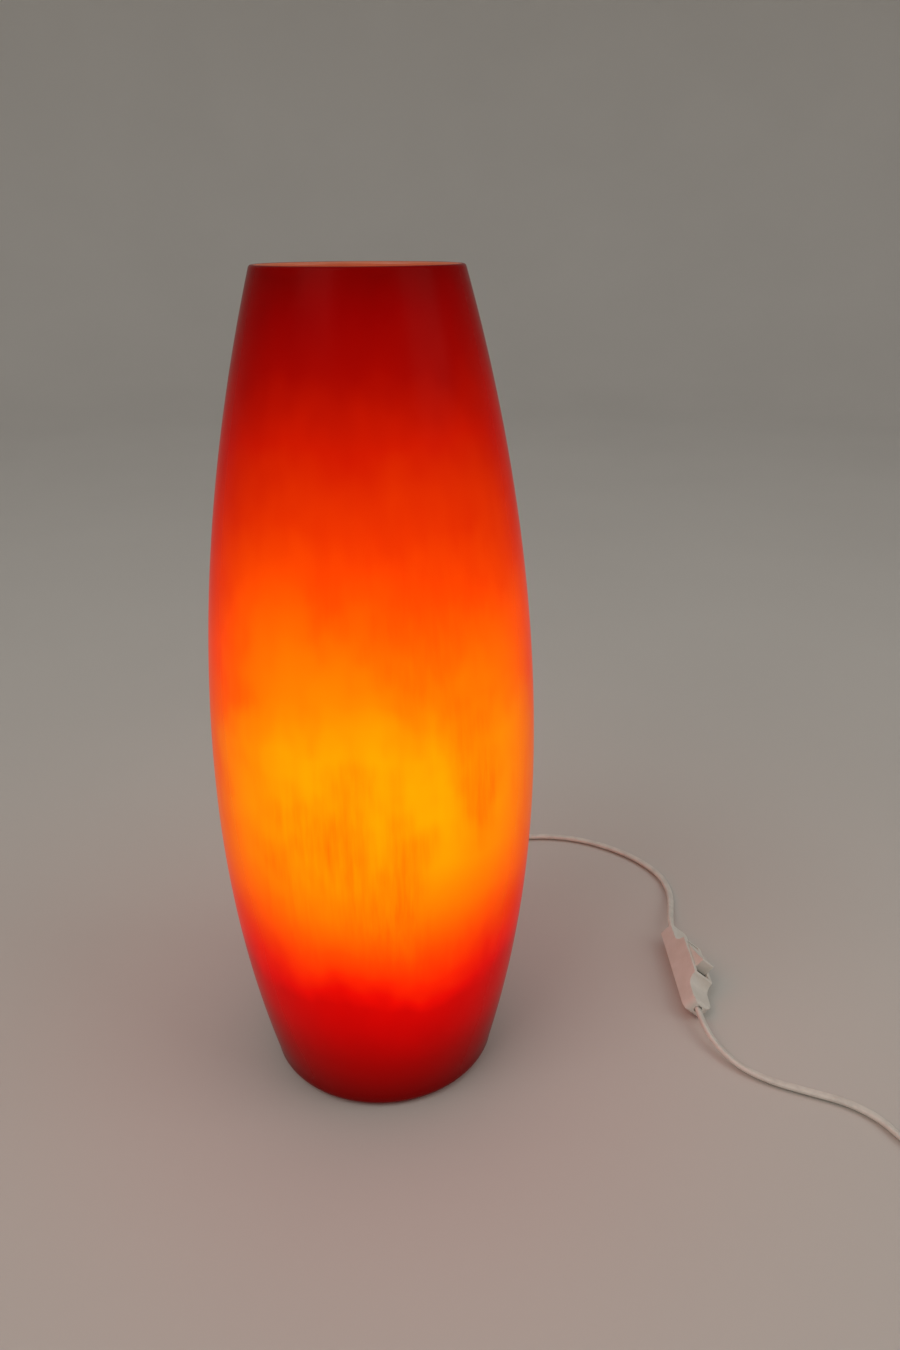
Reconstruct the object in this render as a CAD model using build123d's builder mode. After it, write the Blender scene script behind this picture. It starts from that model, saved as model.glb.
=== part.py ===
from build123d import *

import os
from math import cos, pi, radians, sin, sqrt, tan

# Table lamp: a tall barrel of blown coloured glass that stands on the table over a steel base, with a lamp
# holder and bulb on a stem inside it, a flat two-core lead, an in-line rocker switch and a two-pin plug.
# Millimetres. +Z is up and the origin is on the table, at the centre of the glass. +Y is the back, where the
# lead leaves the glass. The lead, its switch and its plug lie on the table to the right (+X).

# ---------------------------------------------------------------- driving dimensions
HEIGHT = 460  # glass, table to rim
BELLY_R, BELLY_Z = 90.3, 193  # widest place of the glass
TOP_R = 51.4  # outside radius at the rim
FOOT_R = 66  # outside radius that the lower curve has at the table, before it is rounded
FOOT_ROUND = 9
GLASS = 3.4  # wall
MOUTH_R = 55.5  # opening in the underside
NOTCH_R, NOTCH_SILL = 7, 5  # arched cut in the foot of the glass that the lead leaves by

DISH_R, DISH_TOP, SKIRT_Z = 50, 23.2, 4.5  # pressed base dish
SHEET = 1.2
PLATE_R, PLATE_Z = 46, 3  # underside plate
POST_R, POST_PCD_R = 3.5, 36  # posts that the plate is screwed to
EDGE_R, EDGE_TOP = 54.6, 10.5  # rubber edging round the dish

NIPPLE_R, NIPPLE_BORE_R = 5, 3.7  # M10 threaded tube
NIPPLE_Z, NIPPLE_TOP = 16.5, 118
STEM_R = 6.5
CAP_Z, CAP_TOP = 112, 136  # lower half of the lamp holder
HOLDER_R, HOLDER_TOP = 19.2, 172
INSERT_Z, INSERT_TOP = 130, 139  # ceramic floor of the holder
SHELL_R, SHELL_TOP = 13.6, 168.5  # inside of the E27 screw shell
RING_R, RING_Z = 30, 168  # flanged ring on the holder
PITCH = 3.629  # E27 thread
THREAD_Z = 144  # lowest turn of the shell's thread

BULB_Z = INSERT_TOP + 2  # tip of the bulb's cap
BULB_R, LIGHT_Z = 30, 216  # bulb, and the height of its centre
CAP_R = 12.3  # bulb cap under its thread
BULB_WALL = 0.8

CORD_R = 2.5
CORE_R = 1
CLEARANCE = 0.05

SWITCH_AT = (199.2, 88.2, 5.14)  # middle of its underside, at the end towards the lamp
SWITCH_ROLL = 50  # degrees that the flat lead holds it up on its lower edge
SWITCH_LONG, SWITCH_WIDE = 82, 16
SPLIT_V, BODY_V, BLOCK_V = 5, 10.2, 16.8  # heights of the joint line, the body and the rocker's surround
BLOCK_U = (24.6, 61.8)  # the surround
BLOCK_FOOT = 6.8  # length of the hollow curve that runs up to it from each end
SHELL_WALL = 1.6
PIVOT_U, PIVOT_V = 43.2, 11
ROCKER_TILT = 16  # degrees each way from level
ROCKER_LONG, ROCKER_WIDE, ROCKER_TOP = 28, 9.9, 9.5
WINDOW = 16.5  # half the length of the rocker's opening

COIL_AT = (347, -118)
COIL_OUTER, COIL_INNER, COIL_HIGH = 37.5, 21.5, 11
PLUG_AT = (384, -70, 6.8)  # where the lead enters the plug
PLUG_LONG, PLUG_WIDE, PLUG_THICK = 35, 26, 13.6
PIN_R, PIN_LONG, PIN_APART = 2, 19, 18.6
SLEEVE_LONG = 10

# The lead lies in two stretches. These points are the corners of each route, and every corner is rounded.
LAMP_SIDE = [
    (0, 86, 3),
    (0, 112, 2.5),
    (7, 146, 2.5),
    (27, 183, 2.5),
    (62, 214, 2.5),
    (105, 231, 2.5),
    (148, 227, 2.5),
    (186, 204, 2.5),
    (209, 173, 2.5),
    (212, 143, 3.2),
    (206.5, 117, 6.5),
    (202.4, 97, 8.9),
    (202.4, 81, 9),
]
PLUG_SIDE = [
    (202.4, 12, 9),
    (202.4, -4, 8.9),
    (207, -21, 5.8),
    (217, -37, 3),
    (233, -49.5, 2.5),
    (254, -58.5, 2.5),
    (275, -67, 2.5),
    (289.5, -80, 2.5),
    (297, -97, 2.5),
    (306, -110, 2.5),
    (313, -123, 2.6),
]
TAIL = [(381.5, -123, 8), (382, -106, 7.8), (384.3, -87.5, 7), (384, -70, 6.8)]

os.makedirs("parts", exist_ok=True)


def save(piece, label):
    """Writes one sub-part to its own file."""
    piece.label = label
    export_step(piece, f"parts/{label}.step")


def corner_radii(points):
    """The largest arc that each corner of a route has room for."""
    radii = []
    for before, here, after in zip(points, points[1:], points[2:]):
        run_in = Vector(*here) - Vector(*before)
        run_out = Vector(*after) - Vector(*here)
        half_turn = radians(run_in.get_angle(run_out)) / 2
        radii.append(0.45 * min(run_in.length, run_out.length) / tan(half_turn))
    return radii


def shade_r(z, inset=0):
    """Radius of the glass at a height, or of a surface that lies inside it by inset."""
    end_r, end_z = (TOP_R, HEIGHT) if z > BELLY_Z else (FOOT_R, 0)
    drop = BELLY_R - end_r
    arc = ((end_z - BELLY_Z) ** 2 + drop**2) / (2 * drop)
    return BELLY_R - arc + sqrt((arc - inset) ** 2 - (z - BELLY_Z) ** 2)


def polar(radius, degrees):
    return radius * cos(radians(degrees)), radius * sin(radians(degrees))


# ---------------------------------------------------------------- glass
with BuildPart() as glass_shade:
    with BuildSketch(Plane.XZ):
        with BuildLine():
            belly = (BELLY_R, BELLY_Z)
            Line((0, 0), (FOOT_R, 0))
            TangentArc(belly, (FOOT_R, 0), tangent=(0, -1))
            TangentArc(belly, (TOP_R, HEIGHT), tangent=(0, 1))
            Polyline((TOP_R, HEIGHT), (0, HEIGHT), (0, 0))
        outline = make_face()
        foot_corner = outline.vertices().sort_by_distance((FOOT_R, 0, 0))[0]
        fillet(foot_corner, FOOT_ROUND)
    revolve(axis=Axis.Z)
    with BuildSketch(Plane.XZ):
        with BuildLine():
            belly = (BELLY_R - GLASS, BELLY_Z)
            foot = (shade_r(GLASS, GLASS), GLASS)
            above = (shade_r(HEIGHT + GLASS, GLASS), HEIGHT + GLASS)
            Line((0, GLASS), foot)
            TangentArc(belly, foot, tangent=(0, -1))
            TangentArc(belly, above, tangent=(0, 1))
            Polyline(above, (0, above[1]), (0, GLASS))
        hollow = make_face()
        inner_corner = hollow.vertices().sort_by_distance((foot[0], 0, GLASS))[0]
        fillet(inner_corner, FOOT_ROUND - GLASS)
    revolve(axis=Axis.Z, mode=Mode.SUBTRACT)
    with BuildSketch(Plane.XY):
        Circle(MOUTH_R)
    extrude(amount=2 * GLASS, mode=Mode.SUBTRACT)
    rim = glass_shade.edges().filter_by(GeomType.CIRCLE).group_by(Axis.Z)[-1]
    fillet(rim, GLASS * 0.45)
    with BuildSketch(Plane.XZ.offset(-DISH_R)):
        with Locations((0, NOTCH_SILL)):
            Circle(NOTCH_R)
        with Locations((0, NOTCH_SILL / 2)):
            Rectangle(2 * NOTCH_R, NOTCH_SILL)
    extrude(amount=-(FOOT_R - DISH_R + 10), mode=Mode.SUBTRACT)
save(glass_shade.part, "glass_shade")

# ---------------------------------------------------------------- base
with BuildPart() as base_dish:
    with BuildSketch(Plane.XY.offset(SKIRT_Z)):
        Circle(DISH_R)
    extrude(amount=DISH_TOP - SKIRT_Z)
    fillet(base_dish.edges().group_by(Axis.Z)[-1], 6)
    offset(amount=-SHEET, openings=base_dish.faces().sort_by(Axis.Z)[0])
    with Locations((0, 0, DISH_TOP)):
        Hole(NIPPLE_R + CLEARANCE)
    with BuildSketch(Plane.XZ.offset(-DISH_R + 6)):
        with Locations((0, 7)):
            SlotCenterToCenter(0.6, 9.2, rotation=90)
        with Locations((0, SKIRT_Z)):
            Rectangle(9.2, 5)
    extrude(amount=-12, mode=Mode.SUBTRACT)
save(base_dish.part, "base_dish")

with BuildPart() as edge_trim:
    with BuildSketch(Plane.XZ):
        with BuildLine():
            Polyline(
                (DISH_R, SKIRT_Z),
                (DISH_R - 2 * SHEET, SKIRT_Z),
                (DISH_R - 2 * SHEET, SKIRT_Z - 0.8),
                (EDGE_R - 1, SKIRT_Z - 0.8),
                (EDGE_R, SKIRT_Z + 1),
                (EDGE_R, EDGE_TOP - 2),
                (EDGE_R - 1.5, EDGE_TOP),
                (DISH_R, EDGE_TOP),
                close=True,
            )
        make_face()
    revolve(axis=Axis.Z)
    with Locations((0, DISH_R, EDGE_TOP / 2)):
        Box(16, 14, 2 * EDGE_TOP, mode=Mode.SUBTRACT)
save(edge_trim.part, "edge_trim")

POST_ANGLES = (30, 150, 270)
posts = [polar(POST_PCD_R, a) for a in POST_ANGLES]
with BuildPart() as base_posts:
    with BuildSketch(Plane.XY.offset(PLATE_Z + SHEET)):
        with Locations(*posts):
            RegularPolygon(POST_R, 6)
            Circle(1.5, mode=Mode.SUBTRACT)
    extrude(amount=DISH_TOP - SHEET - PLATE_Z - SHEET)
save(base_posts.part, "base_posts")

with BuildPart() as base_plate:
    with BuildSketch(Plane.XY.offset(PLATE_Z)):
        Circle(PLATE_R)
        with Locations((0, PLATE_R)):
            Rectangle(15, 12, mode=Mode.SUBTRACT)
        with Locations(*posts):
            Circle(1.7, mode=Mode.SUBTRACT)
        with Locations((-6.5, 27), (6.5, 27)):
            Circle(1.25, mode=Mode.SUBTRACT)
    extrude(amount=SHEET)
    fillet(base_plate.edges().filter_by(Axis.Z), 1)
save(base_plate.part, "base_plate")

with BuildPart() as plate_screws:
    with BuildSketch(Plane.XY.offset(PLATE_Z - 1.8)):
        with Locations(*posts):
            Circle(2.8)
    extrude(amount=1.8)
    fillet(plate_screws.edges().group_by(Axis.Z)[0], 0.8)
    with BuildSketch(Plane.XY.offset(PLATE_Z)):
        with Locations(*posts):
            Circle(1.45)
    extrude(amount=8)
    with BuildSketch(Plane.XY.offset(PLATE_Z - 1.8)):
        with Locations(*posts):
            Rectangle(3, 0.7)
            Rectangle(0.7, 3)
    extrude(amount=1, mode=Mode.SUBTRACT)
save(plate_screws.part, "plate_screws")

with BuildPart() as rubber_feet:
    with BuildSketch(Plane.XY):
        with Locations(*[polar(POST_PCD_R, a) for a in (45, 135, 225, 315)]):
            Circle(6.5)
    extrude(amount=PLATE_Z)
    fillet(rubber_feet.edges().group_by(Axis.Z)[0], 0.8)
save(rubber_feet.part, "rubber_feet")

# ---------------------------------------------------------------- stem
with BuildPart() as threaded_nipple:
    with BuildSketch(Plane.XY.offset(NIPPLE_Z)):
        Circle(NIPPLE_R)
        Circle(NIPPLE_BORE_R, mode=Mode.SUBTRACT)
    extrude(amount=NIPPLE_TOP - NIPPLE_Z)
    ends = threaded_nipple.edges().group_by(Axis.Z)
    chamfer(ends[0] + ends[-1], 0.4)
save(threaded_nipple.part, "threaded_nipple")

with BuildPart() as stem_nut:
    nut_top = DISH_TOP - SHEET - 0.8
    with BuildSketch(Plane.XY.offset(nut_top - 4)):
        RegularPolygon(7, 6, major_radius=False)
        Circle(NIPPLE_R + CLEARANCE, mode=Mode.SUBTRACT)
    extrude(amount=4)
save(stem_nut.part, "stem_nut")

with BuildPart() as lock_washer:
    with BuildSketch(Plane.XY.offset(DISH_TOP - SHEET - 0.8)):
        Circle(8.2)
        with PolarLocations(8.4, 12):
            Rectangle(2, 1.4, mode=Mode.SUBTRACT)
        Circle(NIPPLE_R + CLEARANCE, mode=Mode.SUBTRACT)
    extrude(amount=0.8)
save(lock_washer.part, "lock_washer")

with BuildPart() as stem_tube:
    with BuildSketch(Plane.XY.offset(DISH_TOP)):
        Circle(STEM_R)
    extrude(amount=CAP_Z - DISH_TOP)
    with BuildSketch(Plane.XY.offset(DISH_TOP)):
        Circle(STEM_R + 4)
    extrude(amount=2.5)
    flange_edges = stem_tube.edges().filter_by(GeomType.CIRCLE).group_by(Axis.Z)[1]
    fillet(flange_edges.sort_by(SortBy.LENGTH)[-1], 1.8)
    with Locations((0, 0, DISH_TOP)):
        Hole(NIPPLE_R + 0.2)
save(stem_tube.part, "stem_tube")

# ---------------------------------------------------------------- lead inside the lamp
INNER_Z = 7.2
with BuildPart() as inner_lead:
    with BuildLine():
        route = FilletPolyline(
            LAMP_SIDE[0],
            (0, 48, INNER_Z),
            (0, 0, INNER_Z),
            (0, 0, NIPPLE_TOP),
            radius=[30, 11.5],
        )
    with BuildSketch(Plane(route @ 0, z_dir=route % 0)):
        Circle(CORD_R)
    sweep(path=route)
save(inner_lead.part, "inner_lead")

with BuildPart() as cord_bush:
    with BuildSketch(Plane.XZ.offset(-44)):
        with Locations((0, INNER_Z)):
            RectangleRounded(11, 7.4, 2)
    extrude(amount=-4.1)
    with BuildSketch(Plane.XZ.offset(-48.1)):
        with Locations((0, INNER_Z)):
            RectangleRounded(8.8, 7.2, 2.4)
    extrude(amount=-2.1)
    with BuildSketch(Plane.XZ.offset(-50.2)):
        with Locations((0, INNER_Z)):
            RectangleRounded(11, 7.4, 2)
    extrude(amount=-3.2)
    with BuildSketch(Plane.XZ.offset(-53.4)):
        with Locations((0, 6.4)):
            RectangleRounded(9, 7, 2.6)
    with BuildSketch(Plane.XZ.offset(-68)):
        with Locations((0, 4.9)):
            RectangleRounded(7.8, 6, 2.3)
    with BuildSketch(Plane.XZ.offset(-LAMP_SIDE[0][1])):
        with Locations((0, LAMP_SIDE[0][2] + 0.1)):
            RectangleRounded(6.4, 5.6, 2.1)
    loft()
    with BuildLine(mode=Mode.PRIVATE):
        bore_route = FilletPolyline(
            (0, 92, LAMP_SIDE[0][2] - 6 * (INNER_Z - 3) / 38),
            (0, 48, INNER_Z),
            (0, 40, INNER_Z),
            radius=30,
        )
    with BuildSketch(Plane(bore_route @ 0, z_dir=bore_route % 0)):
        Circle(CORD_R + CLEARANCE)
    sweep(path=bore_route, mode=Mode.SUBTRACT)
save(cord_bush.part, "cord_bush")

with BuildPart() as cord_clamp:
    clamp_floor = PLATE_Z + SHEET
    with BuildSketch(Plane.XY.offset(clamp_floor)):
        with Locations((0, 27)):
            RectangleRounded(19, 8, 2)
            with Locations((-6.5, 0), (6.5, 0)):
                Circle(1.4, mode=Mode.SUBTRACT)
    extrude(amount=8)
    with BuildSketch(Plane.XZ.offset(-20)):
        with Locations((0, INNER_Z)):
            Circle(CORD_R + CLEARANCE)
    extrude(amount=-14, mode=Mode.SUBTRACT)
save(cord_clamp.part, "cord_clamp")

with BuildPart() as clamp_screws:
    with BuildSketch(Plane.XY.offset(PLATE_Z + SHEET + 8)):
        with Locations((-6.5, 27), (6.5, 27)):
            Circle(2.4)
    extrude(amount=1.6)
    with BuildSketch(Plane.XY.offset(PLATE_Z)):
        with Locations((-6.5, 27), (6.5, 27)):
            Circle(1.2)
    extrude(amount=SHEET + 8)
    with BuildSketch(Plane.XY.offset(PLATE_Z + SHEET + 9.6)):
        with Locations((-6.5, 27), (6.5, 27)):
            Rectangle(3.2, 0.7)
    extrude(amount=-0.8, mode=Mode.SUBTRACT)
save(clamp_screws.part, "clamp_screws")

# ---------------------------------------------------------------- lamp holder
with BuildPart() as holder_cap:
    with BuildSketch(Plane.XZ):
        with BuildLine():
            neck = (8, CAP_Z + 4)
            side = (HOLDER_R + 0.8, CAP_Z + 15)
            Polyline((NIPPLE_R + CLEARANCE, CAP_Z), (8, CAP_Z), neck)
            RadiusArc(neck, side, -12.4)
            Polyline(side, (side[0], CAP_TOP), (side[0] - 1.8, CAP_TOP), (side[0] - 1.8, side[1]))
            RadiusArc((side[0] - 1.8, side[1]), (8, CAP_Z + 6.4), 10.6)
            Polyline((8, CAP_Z + 6.4), (NIPPLE_R + CLEARANCE, CAP_Z + 6.4), (NIPPLE_R + CLEARANCE, CAP_Z))
        make_face()
    revolve(axis=Axis.Z)
save(holder_cap.part, "holder_cap")

with BuildPart() as holder_body:
    with BuildSketch(Plane.XY.offset(CAP_TOP)):
        Circle(HOLDER_R - 0.4)
        Circle(HOLDER_R - 2.6, mode=Mode.SUBTRACT)
    extrude(amount=HOLDER_TOP - CAP_TOP)
    with BuildSketch(Plane.XY.offset(HOLDER_TOP - 2)):
        Circle(HOLDER_R - 1)
        Circle(15.4, mode=Mode.SUBTRACT)
    extrude(amount=2)
    fillet(holder_body.edges().group_by(Axis.Z)[-1], 0.7)
    with BuildLine():
        ridge = Helix(pitch=3, height=24, radius=HOLDER_R - 0.5, center=(0, 0, CAP_TOP + 5))
    with BuildSketch(Plane(ridge @ 0, z_dir=ridge % 0)):
        Circle(0.7)
    sweep(path=ridge, is_frenet=True)
save(holder_body.part, "holder_body")

with BuildPart() as holder_ring:
    with BuildSketch(Plane.XZ):
        with BuildLine():
            bore = HOLDER_R + 0.45
            Polyline(
                (bore, RING_Z - 8),
                (bore + 2.4, RING_Z - 8),
                (bore + 2.4, RING_Z - 1),
                (RING_R, RING_Z),
                (RING_R, RING_Z + 1.8),
                (bore, RING_Z + 1.8),
                close=True,
            )
        make_face()
    revolve(axis=Axis.Z)
    with PolarLocations(bore + 2.4, 24):
        with Locations((0, 0, RING_Z - 5)):
            Cylinder(0.7, 6, mode=Mode.SUBTRACT)
    fillet(holder_ring.edges().filter_by(GeomType.CIRCLE).group_by(Axis.Z)[-1], 0.5)
save(holder_ring.part, "holder_ring")

with BuildPart() as holder_insert:
    with BuildSketch(Plane.XY.offset(INSERT_Z)):
        Circle(HOLDER_R - 2.7)
    extrude(amount=INSERT_TOP - INSERT_Z)
    chamfer(holder_insert.edges().group_by(Axis.Z)[0], 1)
    with BuildSketch(Plane.XY.offset(INSERT_Z)):
        with Locations((0, 11.5), (0, -11.5)):
            SlotOverall(9, 4)
    extrude(amount=5, mode=Mode.SUBTRACT)
save(holder_insert.part, "holder_insert")

with BuildPart() as screw_shell:
    with BuildSketch(Plane.XZ):
        with BuildLine():
            Polyline(
                (9.8, INSERT_TOP),
                (SHELL_R + 0.5, INSERT_TOP),
                (SHELL_R + 0.5, SHELL_TOP),
                (SHELL_R, SHELL_TOP),
                (SHELL_R, INSERT_TOP + 0.5),
                (9.8, INSERT_TOP + 0.5),
                close=True,
            )
        make_face()
    revolve(axis=Axis.Z)
    with BuildLine():
        shell_turns = Helix(pitch=PITCH, height=5.5 * PITCH, radius=SHELL_R - 0.05, center=(0, 0, THREAD_Z))
    with BuildSketch(Plane(shell_turns @ 0, z_dir=shell_turns % 0)):
        Circle(0.45)
    sweep(path=shell_turns, is_frenet=True)
save(screw_shell.part, "screw_shell")

with BuildPart() as centre_contact:
    with BuildSketch(Plane.XZ.offset(-2.5)):
        with BuildLine():
            Polyline(
                (9, INSERT_TOP),
                (9, INSERT_TOP + 0.5),
                (5, INSERT_TOP + 0.5),
                (2.5, BULB_Z - CLEARANCE),
                (-3, BULB_Z - CLEARANCE),
                (-3, BULB_Z - 0.5),
                (2.2, BULB_Z - 0.5),
                (4.7, INSERT_TOP),
                close=True,
            )
        make_face()
    extrude(amount=5)
save(centre_contact.part, "centre_contact")

with BuildPart() as holder_terminals:
    with BuildSketch(Plane.XY.offset(INSERT_Z - 7)):
        with Locations((-9, 0), (9, 0)):
            Rectangle(6, 5)
    extrude(amount=7)
    with BuildSketch(Plane.YZ.offset(-20)):
        with Locations((0, INSERT_Z - 4.5)):
            Circle(CORE_R + CLEARANCE)
    extrude(amount=40, mode=Mode.SUBTRACT)
save(holder_terminals.part, "holder_terminals")

with BuildPart() as terminal_screws:
    with BuildSketch(Plane.XY.offset(INSERT_Z - 9)):
        with Locations((-9, 0), (9, 0)):
            Circle(1.7)
    extrude(amount=2)
    with BuildSketch(Plane.XY.offset(INSERT_Z - 9)):
        with Locations((-9, 0), (9, 0)):
            Rectangle(2.6, 0.5)
    extrude(amount=0.7, mode=Mode.SUBTRACT)
save(terminal_screws.part, "terminal_screws")

for side, colour in ((-1, "blue"), (1, "brown")):
    with BuildPart() as core:
        with BuildLine():
            core_route = FilletPolyline(
                (side * 1.2, 0, NIPPLE_TOP),
                (side * 1.2, 0, NIPPLE_TOP + 3.5),
                (side * 4, 0, INSERT_Z - 4.5),
                (side * 11, 0, INSERT_Z - 4.5),
                radius=1.5,
            )
        with BuildSketch(Plane(core_route @ 0, z_dir=core_route % 0)):
            Circle(CORE_R)
        sweep(path=core_route)
    save(core.part, f"holder_core_{colour}")

# ---------------------------------------------------------------- bulb
with BuildPart() as bulb_contact:
    with BuildSketch(Plane.XY.offset(BULB_Z)):
        Circle(3.6)
    extrude(amount=2.2)
    fillet(bulb_contact.edges().group_by(Axis.Z)[0], 1.2)
save(bulb_contact.part, "bulb_contact")

with BuildPart() as bulb_insulator:
    with BuildSketch(Plane.XZ):
        with BuildLine():
            Polyline(
                (0, BULB_Z + 2.2),
                (4.4, BULB_Z + 2.2),
                (10.4, BULB_Z + 6),
                (10.4, BULB_Z + 7),
                (0, BULB_Z + 7),
                close=True,
            )
        make_face()
    revolve(axis=Axis.Z)
save(bulb_insulator.part, "bulb_insulator")

NECK_Z = BULB_Z + 27  # top of the bulb's cap
with BuildPart() as bulb_cap:
    with BuildSketch(Plane.XZ):
        with BuildLine():
            Polyline(
                (10.5, BULB_Z + 6),
                (CAP_R, BULB_Z + 7.8),
                (CAP_R, NECK_Z - 2.5),
                (CAP_R + 0.8, NECK_Z),
                (CAP_R + 0.4, NECK_Z),
                (CAP_R - 0.5, NECK_Z - 2.5),
                (CAP_R - 0.5, BULB_Z + 8),
                (10.5, BULB_Z + 6.6),
                close=True,
            )
        make_face()
    revolve(axis=Axis.Z)
    with BuildLine():
        cap_turns = Helix(pitch=PITCH, height=4 * PITCH, radius=CAP_R, center=(0, 0, THREAD_Z + 1.5 * PITCH))
    with BuildSketch(Plane(cap_turns @ 0, z_dir=cap_turns % 0)):
        Circle(0.72)
    sweep(path=cap_turns, is_frenet=True)
    with BuildSketch(Plane.XY.offset(BULB_Z + 8)):
        Circle(CAP_R - 0.5)
    extrude(amount=NECK_Z - 3 - BULB_Z - 8, mode=Mode.SUBTRACT)
save(bulb_cap.part, "bulb_cap")

SHOULDER = 38  # degrees below the bulb's middle where its neck begins
with BuildPart() as bulb_glass:
    with BuildSketch(Plane.XZ):
        with BuildLine() as profile:
            inside = BULB_R - BULB_WALL / 2
            join_x, join_drop = polar(inside, SHOULDER)
            join = (join_x, LIGHT_Z - join_drop)
            Line((CAP_R - 1.4, NECK_Z - 10), (CAP_R - 1.4, NECK_Z - 1))
            Spline(
                (CAP_R - 1.4, NECK_Z - 1),
                join,
                tangents=((0, 1), (sin(radians(SHOULDER)), cos(radians(SHOULDER)))),
            )
            ThreePointArc(join, (inside, LIGHT_Z), (0, LIGHT_Z + inside))
        trace(line_width=BULB_WALL)
    revolve(axis=Axis.Z)
save(bulb_glass.part, "bulb_glass")

WIRE_TOP = LIGHT_Z - 2
with BuildPart() as bulb_mount:
    with BuildSketch(Plane.XZ):
        with BuildLine():
            Polyline((0, NECK_Z - 9), (9.8, NECK_Z - 9), (9.6, NECK_Z - 8))
            Spline((9.6, NECK_Z - 8), (3.2, NECK_Z + 2), tangents=((-1, 0.3), (0, 1)))
            Polyline((3.2, NECK_Z + 2), (3, NECK_Z + 20), (0, NECK_Z + 22), (0, NECK_Z - 9))
        make_face()
    revolve(axis=Axis.Z)
save(bulb_mount.part, "bulb_mount")

with BuildPart() as filament_wires:
    for side in (-1, 1):
        with BuildLine():
            wire = Line((side * 3.4, 0, NECK_Z + 16), (side * 12, 0, WIRE_TOP))
        with BuildSketch(Plane(wire @ 0, z_dir=wire % 0)):
            Circle(0.35)
        sweep(path=wire)
save(filament_wires.part, "filament_wires")

with BuildPart() as filament:
    with BuildLine():
        bow = ThreePointArc((-12, 0, WIRE_TOP + 0.6), (0, 0, WIRE_TOP + 3), (12, 0, WIRE_TOP + 0.6))
    with BuildSketch(Plane(bow @ 0, z_dir=bow % 0)):
        Circle(0.5)
    sweep(path=bow)
save(filament.part, "filament")


# ---------------------------------------------------------------- lead
def tube(points, label):
    """A plain tube along a route, with its tightest bend and its volume against its length."""
    radii = corner_radii(points)
    with BuildPart() as lead:
        with BuildLine():
            path = FilletPolyline(*points, radius=radii)
        with BuildSketch(Plane(path @ 0, z_dir=path % 0)):
            Circle(CORD_R)
        sweep(path=path)
    share = lead.part.volume / (path.length * pi * CORD_R**2)
    print(label, "length", round(path.length), "tightest", round(min(radii), 1), "volume share", round(share, 4))
    print("  radii", [round(r) for r in radii])
    save(lead.part, label)


tube(LAMP_SIDE, "lead_lamp_side")
tube(PLUG_SIDE, "lead_plug_side")
tube(TAIL, "lead_tail")

with BuildPart() as lead_coil:
    with BuildSketch(Plane.XY):
        with Locations(COIL_AT):
            Circle(COIL_OUTER)
            Circle(COIL_INNER, mode=Mode.SUBTRACT)
    extrude(amount=COIL_HIGH)
    fillet(lead_coil.edges().filter_by(GeomType.CIRCLE), 2)
save(lead_coil.part, "lead_coil")

# ---------------------------------------------------------------- in-line switch
# Its own axes: u runs from the lamp's end to the plug's end, v from its underside to the rocker, w across.
# u is world -Y, and the switch is rolled so that v points up to the right.
V_DIR = (cos(radians(SWITCH_ROLL)), 0, sin(radians(SWITCH_ROLL)))
W_DIR = (-V_DIR[2], 0, V_DIR[0])
SIDE = Plane(origin=SWITCH_AT, x_dir=(0, -1, 0), z_dir=W_DIR)  # u, v
PLAN = Plane(origin=SWITCH_AT, x_dir=(0, -1, 0), z_dir=V_DIR)  # u, -w
END = Plane(origin=SWITCH_AT, x_dir=V_DIR, z_dir=(0, -1, 0))  # v, w, looking from the lamp's end
WIDE = SWITCH_WIDE / 2
INSIDE = WIDE - SHELL_WALL
HOLLOW_U = (8.5, SWITCH_LONG - 8.5)
SCREWS_UW = [(4.5, 5), (SWITCH_LONG - 4.5, -5)]


def switch_box(u, v, w, mode=Mode.ADD):
    """A block of the switch between two values of u, of v and of w."""
    with BuildSketch(SIDE.offset(w[0])) as side:
        with Locations(((u[0] + u[1]) / 2, (v[0] + v[1]) / 2)):
            Rectangle(u[1] - u[0], v[1] - v[0])
    extrude(side.sketch, amount=w[1] - w[0], mode=mode)


def switch_posts(radius, v, mode=Mode.ADD, at=SCREWS_UW):
    """Round posts or holes across the switch's thickness, at places given as u, w."""
    with BuildSketch(PLAN.offset(v[0])) as ends:
        with Locations(*[(u, -w) for u, w in at]):
            Circle(radius)
    extrude(ends.sketch, amount=v[1] - v[0], mode=mode)


def switch_outline():
    """Cuts what has been made to the rounded outline that the switch has from above."""
    with BuildSketch(PLAN.offset(-1)) as outline:
        with Locations((SWITCH_LONG / 2, 0)):
            RectangleRounded(SWITCH_LONG, SWITCH_WIDE, 5)
    extrude(outline.sketch, amount=BLOCK_V + 2, mode=Mode.INTERSECT)


def lead_channel():
    """The round way in for the lead at both ends."""
    with BuildSketch(END.offset(-1)) as bore:
        with Locations((SPLIT_V, 0)):
            Circle(CORD_R + CLEARANCE)
    extrude(bore.sketch, amount=SWITCH_LONG + 2, mode=Mode.SUBTRACT)


with BuildPart() as switch_base:
    with BuildSketch(SIDE.offset(-WIDE)):
        with BuildLine():
            Polyline(
                (0, SPLIT_V),
                (0, 1),
                (1, 0),
                (SWITCH_LONG - 1, 0),
                (SWITCH_LONG, 1),
                (SWITCH_LONG, SPLIT_V),
                close=True,
            )
        make_face()
    extrude(amount=SWITCH_WIDE)
    switch_outline()
    switch_box(HOLLOW_U, (SHELL_WALL, SPLIT_V), (-INSIDE, INSIDE), Mode.SUBTRACT)
    lead_channel()
    switch_posts(1.4, (-1, SPLIT_V), Mode.SUBTRACT)
    switch_posts(2.6, (-1, 1.8), Mode.SUBTRACT)
save(switch_base.part, "switch_base")

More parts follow.
